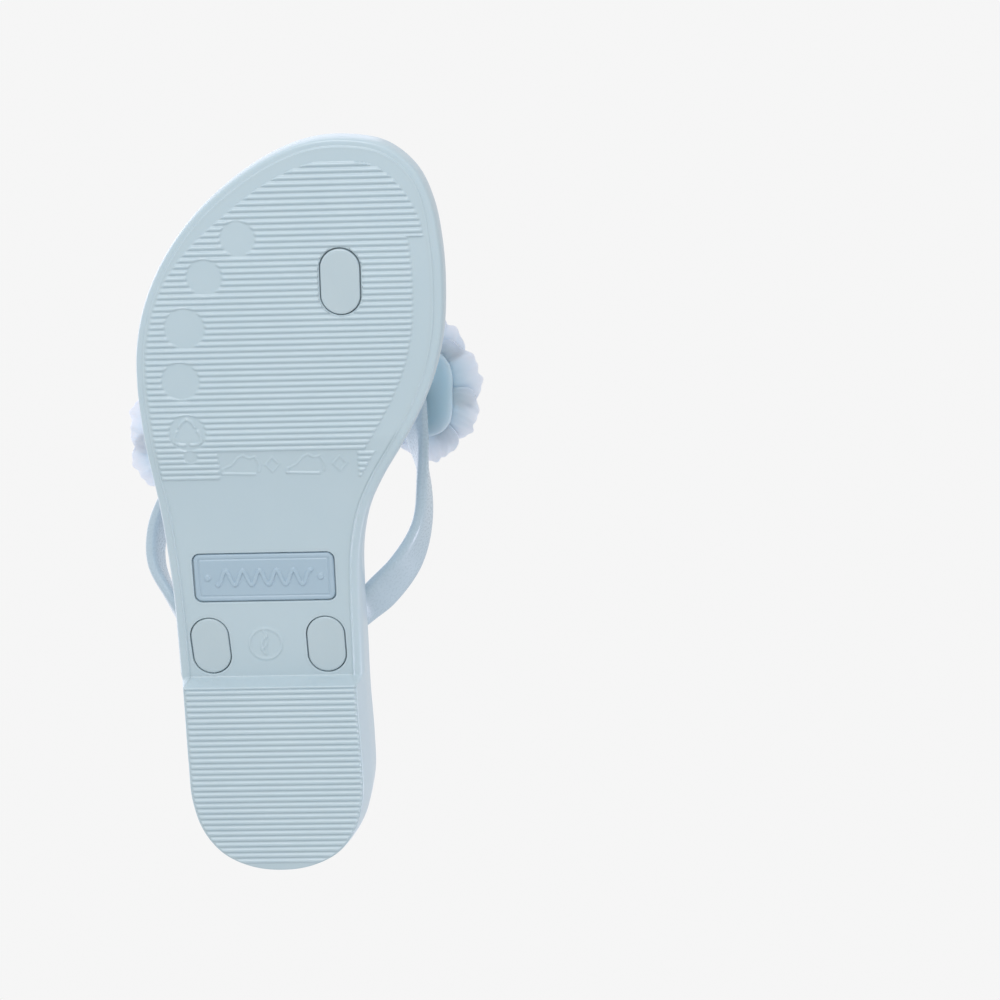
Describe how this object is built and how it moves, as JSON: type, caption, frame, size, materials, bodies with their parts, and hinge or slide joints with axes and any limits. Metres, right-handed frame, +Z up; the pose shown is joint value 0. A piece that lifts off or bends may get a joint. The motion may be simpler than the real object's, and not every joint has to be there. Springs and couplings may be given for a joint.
{
  "type": "flip flop",
  "caption": "Child's thong sandal in moulded soft plastic with cross-ribbed tread, a low heel, a Y strap on plug ends and flowers that turn on pins.",
  "frame": {"origin": "middle of the bounding box, at the height of the ground under the tread", "axes": "+Y towards the toe, +Z up from the tread to the footbed, +X towards the outer side of the foot"},
  "size_m": [0.092, 0.1914, 0.0564],
  "materials": {
    "sole": "gloss",
    "footbed": "satin",
    "badge": "gloss",
    "strap": "gloss",
    "petals": "gloss",
    "pins": "gloss"
  },
  "bodies": {
    "sandal": {"outsole": "sole", "footbed": "footbed", "badge_plate": "badge", "strap": "strap"},
    "medial_flower": {"medial_petals_outer": "petals", "medial_petals_middle": "petals", "medial_petals_inner": "petals", "medial_pin": "pins"},
    "lateral_flower": {"lateral_petals_outer": "petals", "lateral_petals_middle": "petals", "lateral_petals_inner": "petals", "lateral_pin": "pins"}
  },
  "joints": [
    {"name": "medial_flower_turn", "type": "hinge", "parent": "sandal", "child": "medial_flower", "pos_m": [-0.02731, 0.02422, 0.04225], "axis": [-0.3817, 0.0201, 0.9241], "continuous": true},
    {"name": "lateral_flower_turn", "type": "hinge", "parent": "sandal", "child": "lateral_flower", "pos_m": [0.02672, 0.01239, 0.04004], "axis": [0.3995, 0.1198, 0.9089], "continuous": true}
  ]
}
